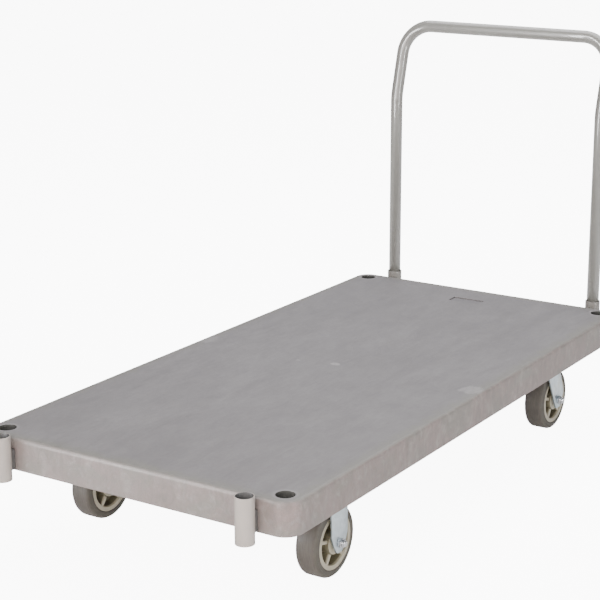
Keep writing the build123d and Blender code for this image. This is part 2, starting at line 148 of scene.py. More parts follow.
def newGroup(name, inputs, outputs):
    group = bpy.data.node_groups.new(name, "ShaderNodeTree")
    for label, kind, value in inputs:
        socket = group.interface.new_socket(label, in_out="INPUT", socket_type=kind)
        socket.default_value = value
    for label in outputs:
        group.interface.new_socket(label, in_out="OUTPUT", socket_type="NodeSocketFloat")
    entry = group.nodes.new("NodeGroupInput")
    leave = group.nodes.new("NodeGroupOutput")
    return group, entry.outputs, leave.inputs


def useGroup(tree, group, **values):
    node = tree.nodes.new("ShaderNodeGroup")
    node.node_tree = group
    for label, value in values.items():
        feed(tree, node.inputs[label], value)
    return node.outputs


def makeCloudGroup():
    # slow patches of light and dark, pulled out along whichever direction Stretch is small in
    group, given, result = newGroup(
        "clouds",
        (("Stretch", "NodeSocketVector", (1, 1, 1)), ("Scale", "NodeSocketFloat", 5.0),
         ("Warp", "NodeSocketFloat", 0.5)),
        ("Value",))
    place = vectorCalc(group, "MULTIPLY", objectPoint(group), given["Stretch"])
    value = noise(group, place, given["Scale"], 4.0, 0.6, given["Warp"])
    feed(group, result["Value"], remap(group, value, 0.3, 0.7, 0.0, 1.0))
    return group


def makeGrainGroup():
    # fine surface texture: a height for bump and a mask of rare specks
    group, given, result = newGroup(
        "grain", (("Size", "NodeSocketFloat", 400.0), ("Specks", "NodeSocketFloat", 0.5)),
        ("Height", "Specks"))
    place = objectPoint(group)
    fine = noise(group, place, given["Size"], 2.0, 0.6)
    coarse = noise(group, place, calc(group, "MULTIPLY", given["Size"], 0.22), 2.0, 0.5)
    feed(group, result["Height"], calc(group, "MULTIPLY_ADD", coarse, 0.6, fine))
    spots = noise(group, place, calc(group, "MULTIPLY", given["Size"], 0.4), 1.0, 0.3)
    level = calc(group, "SUBTRACT", 0.86, calc(group, "MULTIPLY", given["Specks"], 0.16))
    feed(group, result["Specks"], remap(group, spots, level, calc(group, "ADD", level, 0.05)))
    return group


def makeScuffGroup():
    # thin rubbed streaks, broken up into patches
    group, given, result = newGroup(
        "scuffs",
        (("Stretch", "NodeSocketVector", (1, 1, 1)), ("Scale", "NodeSocketFloat", 60.0),
         ("Amount", "NodeSocketFloat", 0.5)),
        ("Mask",))
    place = objectPoint(group)
    stretched = vectorCalc(group, "MULTIPLY", place, given["Stretch"])
    streaks = noise(group, stretched, given["Scale"], 3.0, 0.6, 0.4)
    patches = noise(group, place, 7.0, 2.0, 0.5)
    level = calc(group, "SUBTRACT", 0.78, calc(group, "MULTIPLY", given["Amount"], 0.2))
    line = remap(group, streaks, level, calc(group, "ADD", level, 0.07))
    patchy = remap(group, patches, 0.42, 0.62)
    feed(group, result["Mask"], calc(group, "MULTIPLY", line, patchy, clamp=True))
    return group


def makeDustGroup():
    # dust that settles on faces looking up
    group, given, result = newGroup("settledDust", (("Amount", "NodeSocketFloat", 0.5),), ("Mask",))
    upward = parts(group, group.nodes.new("ShaderNodeTexCoord").outputs["Normal"])[2]
    patchy = noise(group, objectPoint(group), 26.0, 4.0, 0.65)
    mask = calc(group, "MULTIPLY", remap(group, upward, 0.1, 0.95), remap(group, patchy, 0.35, 0.7))
    feed(group, result["Mask"], calc(group, "MULTIPLY", mask, given["Amount"], clamp=True))
    return group


def makeWheelGroup():
    # radius from the axle, distance from the wheel's middle plane, and streaks that run round it
    group, given, result = newGroup(
        "aroundAxle",
        (("Axle", "NodeSocketVector", (0, 0, 0)), ("Streak Scale", "NodeSocketFloat", 60.0)),
        ("Radius", "Side", "Streaks", "Patches"))
    local = vectorCalc(group, "SUBTRACT", objectPoint(group), given["Axle"])
    sideways = parts(group, local)[0]
    flat = vectorCalc(group, "MULTIPLY", local, (0, 1, 1))
    radius = vectorCalc(group, "LENGTH", flat)
    rim = vectorCalc(group, "NORMALIZE", flat)
    join = group.nodes.new("ShaderNodeCombineXYZ")
    feed(group, join.inputs[0], calc(group, "MULTIPLY", sideways, given["Streak Scale"]))
    feed(group, join.inputs[1], calc(group, "MULTIPLY", radius, given["Streak Scale"]))
    streakPlace = vectorCalc(group, "ADD", join.outputs[0], rim)
    patches = noise(group, local, 28.0, 4.0, 0.6, 0.6)
    feed(group, result["Radius"], radius)
    feed(group, result["Side"], calc(group, "ABSOLUTE", sideways))
    feed(group, result["Streaks"], noise(group, streakPlace, 3.0, 4.0, 0.6))
    feed(group, result["Patches"], remap(group, patches, 0.32, 0.68))
    return group


def makeHollowGroup():
    # 1 inside upright holes that repeat at (+-X, +-Y) round a centre, and a rim just outside them
    group, given, result = newGroup(
        "insideHoles",
        (("Centre", "NodeSocketVector", (0, 0, 0)), ("Hole", "NodeSocketVector", (0, 0, 0)),
         ("Radius", "NodeSocketFloat", 0.02)),
        ("Mask", "Near"))
    local = vectorCalc(group, "SUBTRACT", objectPoint(group), given["Centre"])
    fromHole = vectorCalc(group, "SUBTRACT", vectorCalc(group, "ABSOLUTE", local), given["Hole"])
    away = vectorCalc(group, "LENGTH", vectorCalc(group, "MULTIPLY", fromHole, (1, 1, 0)))
    outside = calc(group, "SUBTRACT", away, given["Radius"])
    feed(group, result["Mask"], calc(group, "LESS_THAN", away, given["Radius"]))
    feed(group, result["Near"], remap(group, outside, 0.0, 0.006, 1.0, 0.0, True))
    return group


clouds = makeCloudGroup()
insideHoles = makeHollowGroup()
grain = makeGrainGroup()
scuffs = makeScuffGroup()
settledDust = makeDustGroup()
aroundAxle = makeWheelGroup()
print("shared effects ready")


postHole = {"inset": 0.039, "reach": 0.0215}   # inset: from the deck's edges to the hole's axis
recess = {"fromRear": 0.111, "halfX": 0.043, "halfY": 0.018}
gateMarks = (
    # x, y from mid length, half size along x and y, strength
    (deckHigh.x - 0.03, 0.0, 0.03, 0.036, 0.55),
    (deckLow.x + 0.018, 0.0, 0.026, 0.04, 0.35),
    (0.0, 0.0, 0.016, 0.012, 0.75),
    (-0.089, -0.02, 0.008, 0.006, 0.5),
)
deckFinish = {
    "top": (0.197, 0.187, 0.196),
    "side": (0.262, 0.214, 0.202),
    "sideGreen": (0.165, 0.152, 0.132),
    "sidePink": (0.36, 0.28, 0.265),
    "mossy": (0.232, 0.226, 0.2),   # green-grey drifts along the walls and the top's long borders
    "bloom": (0.308, 0.296, 0.304),   # pale flow marks
    "gate": (0.43, 0.415, 0.42),     # round marks where the plastic was let into the mould
    "shade": (0.168, 0.159, 0.168),
    # painted shade for the walls down the post holes
    "inHole": (0.07, 0.072, 0.067),
    "chalk": (0.44, 0.395, 0.372),     # pale rubbed marks on the walls, and a painted highlight along the top's rounded edge
    "dust": (0.32, 0.31, 0.29),
    "flow": 0.95,                      # how far the swirls change the top's colour
    "clouds": {
        # stretch, scale, warp
        "lines": ((1, 0.22, 1), 62.0, 1.3),     # the top's long drawn-out flow lines
        "drift": ((1.6, 0.5, 1), 6.0, 1.6),
        "broad": ((1, 1, 1), 2.2, 0.8),
        "runs": ((1, 1, 0.4), 30.0, 1.6),       # down the walls
        "marble": ((1, 1, 0.9), 19.0, 3.2),
        "blotch": ((0.6, 0.6, 1), 14.0, 1.8),
        "tint": ((1, 0.8, 1.4), 5.5, 1.4),
        "smear": ((1, 1, 0.5), 34.0, 0.9),
        "curl": ((1, 0.6, 1), 22.0, 2.2),
    },
    "border": (0.012, 0.05),           # the mossy border fades out between these, from the edge
    "rough": (0.4, 0.58),
    "grainDepth": 0.00014,
}


def makeDeckPlastic(look):
    mat, tree, shader = newMaterial("deckPlastic")
    place = objectPoint(tree)
    x, y, z = parts(tree, place)
    upward = parts(tree, tree.nodes.new("ShaderNodeTexCoord").outputs["Normal"])[2]
    isTop = remap(tree, upward, 0.55, 0.99, smooth=True)
    notTop = calc(tree, "SUBTRACT", 1.0, isTop)
    cloud = {name: useGroup(tree, clouds, Stretch=stretch, Scale=scale, Warp=warp)["Value"]
             for name, (stretch, scale, warp) in look["clouds"].items()}
    # the top: flow lines over broad soft patches
    halfDrift = calc(tree, "MULTIPLY", cloud["drift"], 0.5)
    topTone = calc(tree, "MULTIPLY_ADD", cloud["lines"], 0.5, halfDrift)
    topColor = blendIn(tree, look["top"], topTone, look["flow"], look["bloom"])
    topColor = blendIn(tree, topColor, cloud["broad"], look["flow"] * 0.55, look["shade"])
    # the walls: marbled, with runs down them
    sideColor = blendIn(tree, look["side"], cloud["marble"], 1.0, look["sideGreen"])
    sideColor = blendIn(tree, sideColor, cloud["runs"], 0.75, look["sidePink"])
    sideColor = blendIn(tree, sideColor, cloud["blotch"], 0.45, look["side"])
    mossy = remap(tree, cloud["tint"], 0.35, 0.75, 0.0, 0.75)
    sideColor = mixColor(tree, mossy, sideColor, look["mossy"])
    smearedMarble = calc(tree, "MULTIPLY", cloud["smear"], cloud["marble"])
    chalky = remap(tree, smearedMarble, 0.2, 0.75, 0.0, 0.5)
    onEdge = calc(tree, "MULTIPLY", isTop, notTop)
    # painted highlight along the rounded edge between top and walls, broken up by the smear clouds
    worn = calc(tree, "MULTIPLY", calc(tree, "MULTIPLY", onEdge, cloud["smear"]), 1.6)
    chalkyAndEdgeHighlight = calc(tree, "ADD", chalky, worn, clamp=True)
    sideColor = mixColor(tree, chalkyAndEdgeHighlight, sideColor, look["chalk"])
    # a mossy border round the top, with a ragged inner edge
    fromMiddle = calc(tree, "ABSOLUTE", calc(tree, "SUBTRACT", y, deckMiddle.y))
    fromSide = calc(tree, "SUBTRACT", deckHigh.x, calc(tree, "ABSOLUTE", x))
    fromEnd = calc(tree, "SUBTRACT", deckHigh.y - deckMiddle.y, fromMiddle)
    nearest = calc(tree, "MINIMUM", fromSide, fromEnd)
    fromEdge = calc(tree, "MULTIPLY_ADD", cloud["smear"], 0.022, nearest)
    borderStart, borderEnd = look["border"]
    border = remap(tree, fromEdge, borderStart, borderEnd, 0.85, 0.0, True)
    topColor = mixColor(tree, border, topColor, look["mossy"])
    color = mixColor(tree, isTop, sideColor, topColor)
    # pale round marks where the plastic was let into the mould
    for markX, markY, sizeX, sizeY, strength in gateMarks:
        offset = vectorCalc(tree, "SUBTRACT", place, (markX, deckMiddle.y + markY, deckHigh.z))
        scaled = vectorCalc(tree, "MULTIPLY", offset, (1 / sizeX, 1 / sizeY, 0))
        ring = vectorCalc(tree, "LENGTH", scaled)
        spread = calc(tree, "MULTIPLY_ADD", cloud["curl"], 0.55, ring)
        faded = remap(tree, spread, 0.85, 1.2, strength, 0.0, True)
        color = mixColor(tree, calc(tree, "MULTIPLY", faded, isTop), color, look["gate"])
    rub = useGroup(tree, scuffs, Stretch=(1, 0.06, 1), Scale=46.0, Amount=0.45)["Mask"]
    color = blendIn(tree, color, rub, 0.5, look["bloom"])
    fine = useGroup(tree, grain, Size=420.0, Specks=0.6)
    color = blendIn(tree, color, fine["Specks"], 0.5, look["shade"])
    mottle = remap(tree, fine["Height"], 0.6, 1.0, 0.0, 0.4)
    color = mixColor(tree, mottle, color, look["shade"])
    dust = useGroup(tree, settledDust, Amount=0.12)["Mask"]
    color = mixColor(tree, dust, color, look["dust"])
    # painted shade down the post holes, a painted highlight on a pale rim round them, and painted shade in the
    # recess
    halfLength = deckHigh.y - deckMiddle.y
    hole = useGroup(tree, insideHoles, Centre=(0, deckMiddle.y, 0), Radius=postHole["reach"],
                    Hole=(deckHigh.x - postHole["inset"], halfLength - postHole["inset"], 0))
    # painted highlight: a pale ring on the top round each post hole, where its rounded edge catches the light
    rim = calc(tree, "MULTIPLY", isTop, 0.6)
    color = blendIn(tree, color, hole["Near"], rim, look["bloom"])
    # painted shade: the walls below the top inside each post hole are darkened
    color = blendIn(tree, color, hole["Mask"], notTop, look["inHole"])
    # painted shade in the recess, darkest towards its walls
    offset = vectorCalc(tree, "SUBTRACT", place, (0, deckHigh.y - recess["fromRear"], 0))
    fromX, fromY, _ = parts(tree, vectorCalc(tree, "ABSOLUTE", offset))
    pastX = calc(tree, "SUBTRACT", fromX, recess["halfX"])
    pastY = calc(tree, "SUBTRACT", fromY, recess["halfY"])
    edge = calc(tree, "MAXIMUM", pastX, pastY)
    inPlan = calc(tree, "LESS_THAN", edge, 0.0004)
    belowTop = calc(tree, "LESS_THAN", z, deckHigh.z - 0.0006)
    recessShade = remap(tree, edge, -0.007, 0.0, 0.5, 0.95, True)
    color = blendIn(tree, color, calc(tree, "MULTIPLY", inPlan, belowTop), recessShade, look["shade"])
    feed(tree, shader.inputs["Base Color"], color)
    low, high = look["rough"]
    mostlyDrift = calc(tree, "MULTIPLY", cloud["drift"], 0.6)
    unevenness = calc(tree, "MULTIPLY_ADD", cloud["broad"], 0.4, mostlyDrift)
    rough = remap(tree, unevenness, 0, 1, low, high)
    feed(tree, shader.inputs["Roughness"], calc(tree, "MULTIPLY_ADD", rub, -0.08, rough))
    shader.inputs["Specular IOR Level"].default_value = 0.4
    height = calc(tree, "MULTIPLY_ADD", cloud["lines"], 0.8, fine["Height"])
    bumpInto(tree, shader, height, look["grainDepth"], 0.7)
    return mat


socketPlace = {"fromMiddle": 0.297, "fromEnd": 0.0285, "boreRadius": 0.0173}
paintFinish = {
    "handle": {"paint": (0.3, 0.298, 0.277), "worn": (0.36, 0.36, 0.35),
               "rough": (0.26, 0.36), "coat": 0.8},
    "socket": {"paint": (0.5, 0.455, 0.415), "worn": (0.30, 0.29, 0.28),
               "rough": (0.3, 0.44), "coat": 0.15},
    # a darker copy of the socket paint for the rear sockets: painted shade, where the front lamps fall off towards
    # the rear
    "rearSocket": {"paint": (0.285, 0.275, 0.255), "worn": (0.38, 0.37, 0.35),
                   "rough": (0.3, 0.44), "coat": 0.15},
    # near-black paint on the socket brackets: painted shade, for the shadow beside the socket tubes
    "bracket": {"paint": (0.13, 0.128, 0.125), "worn": (0.22, 0.21, 0.2),
                "rough": (0.35, 0.5), "coat": 0.1},
    # dark tone for the painted shade down each socket's bore
    "inside": (0.1, 0.102, 0.104),
    "dust": (0.5, 0.48, 0.45),
}


def makePaint(name, look, inside):
    mat, tree, shader = newMaterial(name)
    tone = useGroup(tree, clouds, Stretch=(1, 1, 1), Scale=18.0, Warp=0.3)["Value"]
    darker = tuple(channel * 0.88 for channel in look["paint"])
    color = mixColor(tree, tone, look["paint"], darker)
    rub = useGroup(tree, scuffs, Stretch=(1, 1, 0.22), Scale=70.0, Amount=0.4)["Mask"]
    color = blendIn(tree, color, rub, 0.6, look["worn"])
    fine = useGroup(tree, grain, Size=900.0, Specks=0.5)
    color = blendIn(tree, color, fine["Specks"], 0.5, darker)
    dust = useGroup(tree, settledDust, Amount=0.15)["Mask"]
    color = mixColor(tree, dust, color, paintFinish["dust"])
    if inside:  # painted shade down the bore of each socket
        holeY = deckHigh.y - deckMiddle.y + socketPlace["fromEnd"]
        bore = useGroup(tree, insideHoles, Centre=(0, deckMiddle.y, 0),
                        Hole=(socketPlace["fromMiddle"], holeY, 0),
                        Radius=socketPlace["boreRadius"])["Mask"]
        color = mixColor(tree, bore, color, inside)
    feed(tree, shader.inputs["Base Color"], color)
    low, high = look["rough"]
    rough = remap(tree, tone, 0, 1, low, high)
    feed(tree, shader.inputs["Roughness"], calc(tree, "MULTIPLY_ADD", rub, 0.2, rough, clamp=True))
    shader.inputs["Coat Weight"].default_value = look["coat"]
    shader.inputs["Coat Roughness"].default_value = 0.05
    peel = noise(tree, objectPoint(tree), 330.0, 2.0, 0.4)
    bumpInto(tree, shader, calc(tree, "MULTIPLY_ADD", fine["Height"], 0.15, peel), 0.00003, 0.3)
    return mat


treadFinish = {
    "tread": (0.088, 0.078, 0.07),
    "side": (0.092, 0.086, 0.07),
    "scrubbed": (0.14, 0.126, 0.113),
    "dust": (0.30, 0.27, 0.22),
    "crownHalf": 0.0185,
    "rough": (0.5, 0.72),
}


def makeTreadRubber(name, axle, look):
    mat, tree, shader = newMaterial(name)
    ring = useGroup(tree, aroundAxle, Axle=tuple(axle), **{"Streak Scale": 300.0})
    onSide = remap(tree, ring["Side"], look["crownHalf"], look["crownHalf"] + 0.004, smooth=True)
    color = mixColor(tree, onSide, look["tread"], look["side"])
    streak = remap(tree, ring["Streaks"], 0.42, 0.68)
    color = blendIn(tree, color, streak, 0.7, look["scrubbed"])
    color = blendIn(tree, color, ring["Patches"], 0.4, look["side"])
    film = calc(tree, "MULTIPLY", ring["Patches"], remap(tree, ring["Radius"], 0.066, 0.0755))
    color = blendIn(tree, color, film, 0.16, look["dust"])
    fine = useGroup(tree, grain, Size=1300.0, Specks=0.7)
    color = blendIn(tree, color, fine["Specks"], 0.5, look["dust"])
    feed(tree, shader.inputs["Base Color"], color)
    low, high = look["rough"]
    feed(tree, shader.inputs["Roughness"], remap(tree, ring["Patches"], 0, 1, low, high))
    shader.inputs["Specular IOR Level"].default_value = 0.35
    height = calc(tree, "MULTIPLY_ADD", ring["Streaks"], 1.2, fine["Height"])
    bumpInto(tree, shader, height, 0.00012, 0.7)
    return mat


coreFinish = {
    "face": (0.50, 0.465, 0.36),
    "pocket": (0.145, 0.131, 0.082),
    "stain": (0.36, 0.33, 0.24),
    "faceAt": 0.0232,   # from the middle plane, where the painted shade in the pockets begins
    "pocketAt": 0.016,
    "hubWall": 0.0272,  # radius of the line of painted shade round the hub's outer wall
    "hubWallHalf": 0.0012,
    "rough": (0.36, 0.52),
}


def makeCorePlastic(name, axle, look):
    mat, tree, shader = newMaterial(name)
    ring = useGroup(tree, aroundAxle, Axle=tuple(axle), **{"Streak Scale": 120.0})
    # painted shade: darker deeper into the pockets between the spokes, unevenly, and along a line round the hub
    deep = remap(tree, ring["Side"], look["pocketAt"], look["faceAt"], 1.0, 0.0, True)
    unevenPocketShade = calc(tree, "MULTIPLY_ADD", ring["Patches"], 0.25, deep, clamp=True)
    color = blendIn(tree, look["face"], ring["Patches"], 0.3, look["stain"])
    fromWall = calc(tree, "ABSOLUTE", calc(tree, "SUBTRACT", ring["Radius"], look["hubWall"]))
    hubWall = calc(tree, "LESS_THAN", fromWall, look["hubWallHalf"])
    pocketShade = calc(tree, "MULTIPLY", unevenPocketShade, deep)
    dark = calc(tree, "MAXIMUM", pocketShade, calc(tree, "MULTIPLY", hubWall, 0.85))
    color = mixColor(tree, dark, color, look["pocket"])
    fine = useGroup(tree, grain, Size=1000.0, Specks=0.5)
    color = blendIn(tree, color, fine["Specks"], 0.5, look["stain"])
    feed(tree, shader.inputs["Base Color"], color)
    low, high = look["rough"]
    feed(tree, shader.inputs["Roughness"], remap(tree, ring["Patches"], 0, 1, low, high))
    shader.inputs["Subsurface Weight"].default_value = 0.06
    shader.inputs["Subsurface Radius"].default_value = (0.004, 0.003, 0.002)
    height = calc(tree, "MULTIPLY_ADD", ring["Streaks"], 0.5, fine["Height"])
    bumpInto(tree, shader, height, 0.00008, 0.5)
    return mat


zincFinish = {
    "plate": {"bright": (0.62, 0.69, 0.73), "dull": (0.42, 0.48, 0.51),
              "tarnish": (0.55, 0.53, 0.45), "rough": (0.24, 0.46), "grainScale": 34.0},
    "fastener": {"bright": (0.70, 0.71, 0.74), "dull": (0.45, 0.46, 0.48),
                 "tarnish": (0.55, 0.52, 0.44), "rough": (0.16, 0.3), "grainScale": 120.0},
    "ground": {"bright": (0.60, 0.60, 0.61), "dull": (0.42, 0.42, 0.43),
               "tarnish": (0.40, 0.36, 0.30), "rough": (0.18, 0.3), "grainScale": 80.0},
    "speck": (0.25, 0.25, 0.24),
}


def makeZinc(name, look):
    mat, tree, shader = newMaterial(name)
    place = objectPoint(tree)
    cells = tree.nodes.new("ShaderNodeTexVoronoi")
    feed(tree, cells.inputs["Vector"], place)
    cells.inputs["Scale"].default_value = look["grainScale"] * 4
    crystal = parts(tree, cells.outputs["Color"])[0]
    tone = useGroup(tree, clouds, Stretch=(1, 1, 0.6), Scale=look["grainScale"], Warp=1.2)["Value"]
    blend = calc(tree, "MULTIPLY_ADD", crystal, 0.3, calc(tree, "MULTIPLY", tone, 0.6))
    color = mixColor(tree, blend, look["bright"], look["dull"])
    stainScale = look["grainScale"] * 0.4
    stain = useGroup(tree, clouds, Stretch=(1, 1, 1), Scale=stainScale, Warp=1.8)["Value"]
    color = mixColor(tree, remap(tree, stain, 0.6, 1.0, 0.0, 0.45), color, look["tarnish"])
    rub = useGroup(tree, scuffs, Stretch=(1, 1, 0.3), Scale=110.0, Amount=0.5)["Mask"]
    color = blendIn(tree, color, rub, 0.5, look["bright"])
    fine = useGroup(tree, grain, Size=1500.0, Specks=0.6)
    color = blendIn(tree, color, fine["Specks"], 0.35, zincFinish["speck"])
    feed(tree, shader.inputs["Base Color"], color)
    shader.inputs["Metallic"].default_value = 1.0
    low, high = look["rough"]
    feed(tree, shader.inputs["Roughness"], remap(tree, blend, 0, 0.9, low, high))
    bumpInto(tree, shader, calc(tree, "MULTIPLY_ADD", tone, 0.5, fine["Height"]), 0.00005, 0.5)
    return mat


finishes = {
    "deck_plastic": makeDeckPlastic(deckFinish),
    "handle_paint": makePaint("handlePaint", paintFinish["handle"], None),
    "socket_paint": makePaint("socketPaint", paintFinish["socket"], paintFinish["inside"]),
    "zinc_steel": makeZinc("zincPlate", zincFinish["plate"]),
    "zinc_fasteners": makeZinc("zincFastener", zincFinish["fastener"]),
    "bearing_steel": makeZinc("groundSteel", zincFinish["ground"]),
}
rearSocketPaint = makePaint("rearSocketPaint", paintFinish["rearSocket"], paintFinish["inside"])
bracketPaint = makePaint("bracketPaint", paintFinish["bracket"], None)
treadOf = {name: makeTreadRubber("treadRubber_" + name, axleOf[name], treadFinish)
           for name in wheelNames}
coreOf = {name: makeCorePlastic("corePlastic_" + name, axleOf[name], coreFinish)
          for name in wheelNames}


def finishFor(node):
    for name in wheelNames:
        if node == name + "_tyre":
            return treadOf[name]
        if node == name + "_wheel_core":
            return coreOf[name]
    # the rear sockets take the darker copy of the socket paint, as painted shade
    if node.startswith("rear") and node.endswith("socket_tube"):
        return rearSocketPaint
    # the brackets take the near-black paint, as painted shade
    if node.endswith("socket_bracket"):
        return bracketPaint
    return finishes[slotOf[node]]


for nodeName, cadObject in nodes.items():
    for materialSlot in cadObject.material_slots:
        materialSlot.material = finishFor(nodeName)
print("finishes ready")


def finishPiece(bm, name, node, smoothAngle=38):
    # a new piece that stands for a CAD node: same body, same slot, same finish
    bmesh.ops.recalc_face_normals(bm, faces=bm.faces)
    mesh = bpy.data.meshes.new(name)
    bm.to_mesh(mesh)
    bm.free()
    mesh.materials.append(finishFor(node))
    mesh.shade_smooth()
    mesh.set_sharp_from_angle(angle=math.radians(smoothAngle))
    piece = bpy.data.objects.new(name, mesh)
    bpy.context.scene.collection.objects.link(piece)
    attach(piece, bodyOf[node])
    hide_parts(node)
    return piece


def camel(node):
    words = node.split("_")
    return words[0] + "".join(word.capitalize() for word in words[1:])


def lathe(bm, outline, origin, axis, side, steps, closed=True):
    # turns an outline of (along, radius) rows round an axis; an open one starts and ends on it
    corners = [bm.verts.new(origin + axis * along + side * radius) for along, radius in outline]
    first = 0 if closed else 1
    lines = [bm.edges.new((corners[i - 1], corners[i])) for i in range(first, len(corners))]
    bmesh.ops.spin(bm, geom=corners + lines, cent=origin, axis=axis, angle=math.tau,
                   steps=steps, use_merge=True)
    bmesh.ops.remove_doubles(bm, verts=bm.verts, dist=1e-6)


def bevelSharp(bm, width, segments, minAngle=35):
    bmesh.ops.recalc_face_normals(bm, faces=bm.faces)
    sharp = [edge for edge in bm.edges
             if len(edge.link_faces) == 2 and edge.calc_face_angle() > math.radians(minAngle)]
    bmesh.ops.bevel(bm, geom=sharp, offset=width, segments=segments, profile=0.5,
                    affect="EDGES", clamp_overlap=True, material=-1)


def prism(bm, sides, radius, length, base, axis, turn=0.0):
    # a bar with that many sides, standing on base along axis
    pose = axis.to_track_quat("Z", "Y").to_matrix().to_4x4() @ Matrix.Rotation(turn, 4, "Z")
    place = Matrix.Translation(base + axis * length / 2) @ pose
    bmesh.ops.create_cone(bm, cap_ends=True, cap_tris=False, segments=sides, radius1=radius,
                          radius2=radius, depth=length, matrix=place)


def roundedCopy(node, width, segments=2):
    # the node's own shape with its sharp edges rounded over
    bm = bmesh.new()
    bm.from_mesh(nodes[node].data)
    bmesh.ops.remove_doubles(bm, verts=bm.verts, dist=1e-5)
    bmesh.ops.dissolve_limit(bm, angle_limit=math.radians(0.5), verts=bm.verts, edges=bm.edges)
    bevelSharp(bm, width, segments)
    finishPiece(bm, camel(node), node)


handleTube = {
    "tubeRadius": 0.015875,
    "wall": 0.002,
    "cornerRadius": 0.076,
    "leanRadius": 0.12,
    "lean": 15.0,     # degrees, the upper part's slope to the rear
    "leanStart": 0.497,  # above the deck's top, where the two straight runs would cross
    "sides": 56,
    "leanSteps": 8,
    "cornerSteps": 24,
}


def ringOf(geometry):
    return [item for item in geometry if isinstance(item, bmesh.types.BMEdge)]


def runStraight(bm, ring, step):
    made = bmesh.ops.extrude_edge_only(bm, edges=ring)["geom"]
    bmesh.ops.translate(bm, verts=[v for v in made if isinstance(v, bmesh.types.BMVert)], vec=step)
    return ringOf(made)


def runBend(bm, ring, centre, axis, angle, steps):
    corners = list({v for edge in ring for v in edge.verts})
    made = bmesh.ops.spin(bm, geom=corners + ring, cent=centre, axis=axis, angle=angle, steps=steps)
    return ringOf(made["geom_last"])


def makeHandle(size):
    low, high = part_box("push_handle")
    radius = size["tubeRadius"]
    lean = math.radians(size["lean"])
    slope = Vector((0, math.sin(lean), math.cos(lean)))
    legX = high.x - radius
    legY = low.y + radius
    bendZ = deckHigh.z + size["leanStart"]
    leanBack = size["leanRadius"] * math.tan(lean / 2)
    barMiddle = Vector((legX, high.y - radius, high.z - radius))
    bm = bmesh.new()
    start = Vector((legX, legY, low.z))
    bmesh.ops.create_circle(bm, cap_ends=False, segments=size["sides"], radius=radius,
                            matrix=Matrix.Translation(start))
    ring = list(bm.edges)
    ring = runStraight(bm, ring, Vector((0, 0, bendZ - leanBack - low.z)))
    bendCentre = Vector((legX, legY + size["leanRadius"], bendZ - leanBack))
    ring = runBend(bm, ring, bendCentre, Vector((-1, 0, 0)), lean, size["leanSteps"])
    bendEnd = Vector((legX, legY, bendZ)) + slope * leanBack
    slopeRun = (barMiddle - bendEnd).length - size["cornerRadius"]
    ring = runStraight(bm, ring, slope * slopeRun)
    inward = Vector((-1, 0, 0))
    cornerCentre = bendEnd + slope * slopeRun + inward * size["cornerRadius"]
    ring = runBend(bm, ring, cornerCentre, slope.cross(inward), math.pi / 2, size["cornerSteps"])
    runStraight(bm, ring, inward * (legX - size["cornerRadius"]))
    bmesh.ops.mirror(bm, geom=bm.verts[:] + bm.edges[:] + bm.faces[:], axis="X", merge_dist=1e-5)
    bmesh.ops.remove_doubles(bm, verts=bm.verts, dist=1e-5)
    piece = finishPiece(bm, "pushHandle", "push_handle")
    wall = piece.modifiers.new("tubeWall", "SOLIDIFY")
    wall.thickness = size["wall"]
    wall.offset = -1


makeHandle(handleTube)
print("push handle made")


tyreShape = {
    # half of the section, from the middle of the tread to the rim: (across, radius) in millimetres
    "halfSection": ((0.0, 76.2), (9.0, 76.15), (17.0, 75.9), (18.2, 75.3), (20.4, 74.4),
                    (22.3, 72.6), (23.4, 70.6), (23.3, 70.0), (24.0, 69.4), (24.6, 66.6),
                    (24.4, 66.0), (25.0, 65.4), (25.3, 63.0), (25.4, 61.2), (24.9, 60.4),
                    (24.5, 59.05)),
    "bevel": 0.25,
    "steps": 128,
}
coreShape = {
    # half of the section, from the rim's outside to the hub's bore: (across, radius) in millimetres
    "halfSection": ((24.2, 59.0), (24.2, 49.6), (21.0, 49.0), (3.0, 48.0), (3.0, 26.5),
                    (21.0, 26.5), (25.0, 26.3), (25.0, 15.0)),
    "bevel": 0.7,
    "spokes": 5,
    "spokeThickness": 7.5,
    "spokeHalfDepth": 22.7,
    "spokeInner": 25.5,
    "spokeOuter": 50.0,
    "spokeBevel": 1.3,
    "spokeStart": 165.0,  # degrees
    "steps": 112,
}
millimetre = 0.001
across = Vector((1, 0, 0))
upright = Vector((0, 0, 1))


def wholeSection(half):
    # mirrors a half section into a closed one, in metres; a row on the middle plane is kept once
    mirrored = [(-u, r) for u, r in reversed(half) if u > 0]
    return [(u * millimetre, r * millimetre) for u, r in list(half) + mirrored]


def makeTyre(name, axle, shape):
    bm = bmesh.new()
    lathe(bm, wholeSection(shape["halfSection"]), axle, across, upright, shape["steps"])
    bevelSharp(bm, shape["bevel"] * millimetre, 2, 20)
    finishPiece(bm, camel(name + "_tyre"), name + "_tyre", 50)


